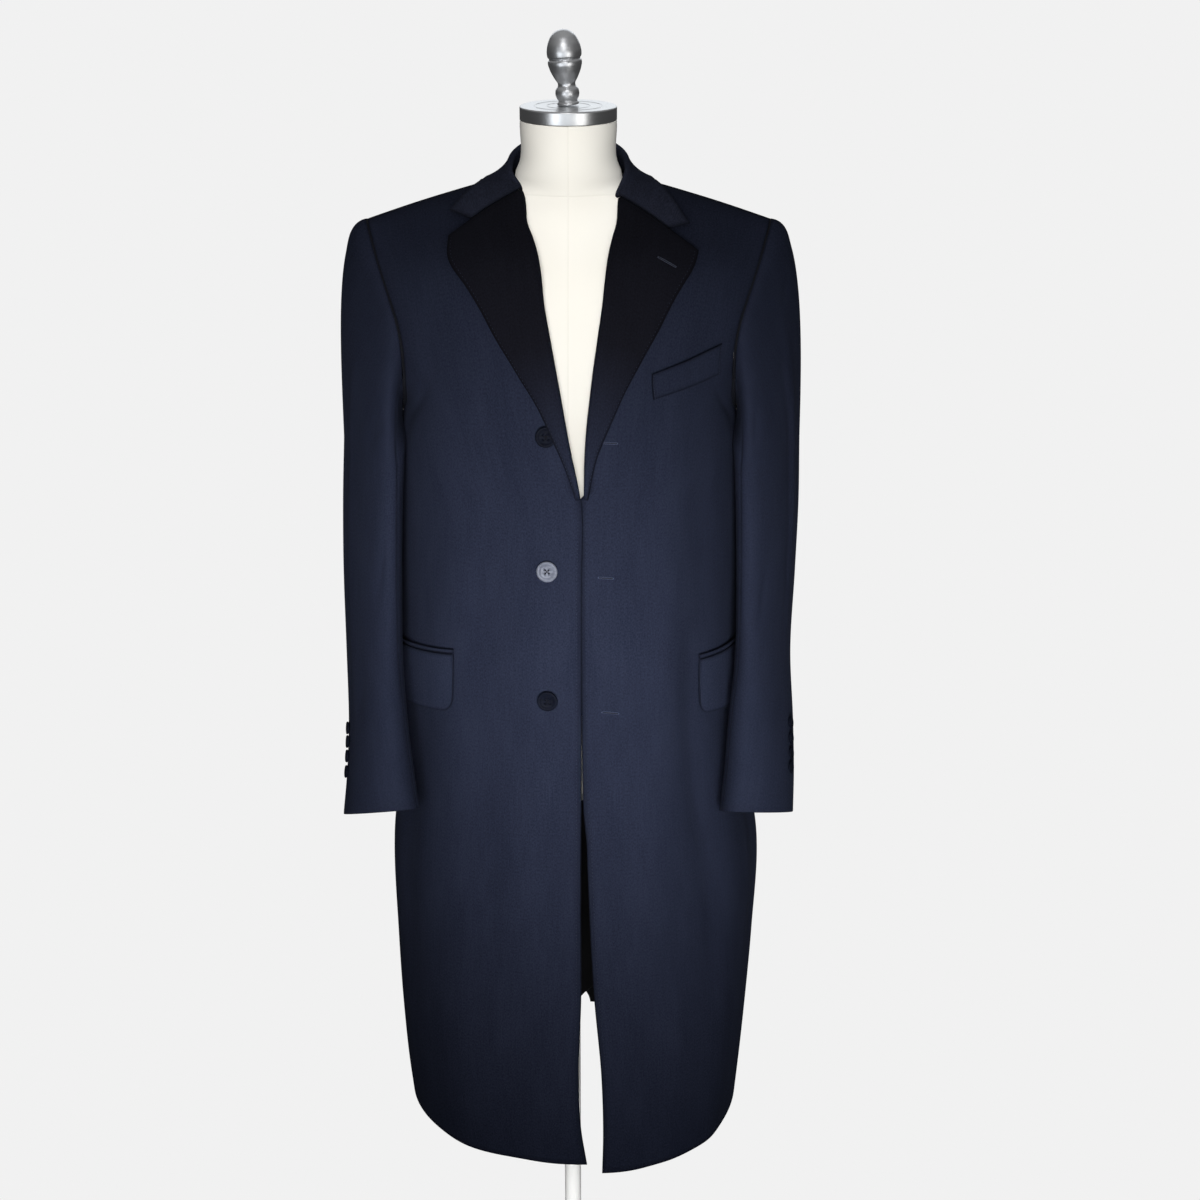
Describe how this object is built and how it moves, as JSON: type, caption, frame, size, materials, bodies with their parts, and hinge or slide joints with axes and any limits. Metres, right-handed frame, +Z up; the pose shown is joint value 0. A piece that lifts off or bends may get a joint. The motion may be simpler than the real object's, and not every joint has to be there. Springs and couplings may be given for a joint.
{
  "type": "wool overcoat on tailor's form",
  "caption": "Single-breasted wool overcoat with notched lapels, flap pockets and breast welt, worn by a limbless tailor's form on a round-based pole stand.",
  "frame": {"origin": "centre of the underside of the stand's round base, on the floor", "axes": "+Z up along the pole; the coat faces -Y; its wearer's left is +X"},
  "size_m": [0.5244, 0.3873, 1.655],
  "materials": {
    "navy_wool": "soft milled wool, matt",
    "button_horn": "polished",
    "form_cloth": "tight cotton cover, matt",
    "brushed_metal": "brushed"
  },
  "bodies": {
    "root": {"front_right": "navy_wool", "front_left": "navy_wool", "back_right": "navy_wool", "back_left": "navy_wool", "top_sleeve_right": "navy_wool", "top_sleeve_left": "navy_wool", "under_sleeve_right": "navy_wool", "under_sleeve_left": "navy_wool", "lapel_right": "navy_wool", "lapel_left": "navy_wool", "collar": "navy_wool", "pocket_flap_right": "navy_wool", "pocket_flap_left": "navy_wool", "pocket_jet_right": "navy_wool", "pocket_jet_left": "navy_wool", "breast_welt": "navy_wool", "front_button_top": "button_horn", "front_button_middle": "button_horn", "front_button_bottom": "button_horn", "cuff_button_right_1": "button_horn", "cuff_button_right_2": "button_horn", "cuff_button_right_3": "button_horn", "cuff_button_right_4": "button_horn", "cuff_button_left_1": "button_horn", "cuff_button_left_2": "button_horn", "cuff_button_left_3": "button_horn", "cuff_button_left_4": "button_horn", "form_torso": "form_cloth", "neck_cap": "brushed_metal", "finial": "brushed_metal", "torso_socket": "brushed_metal", "stand_pole": "brushed_metal", "stand_base": "brushed_metal"}
  },
  "joints": []
}
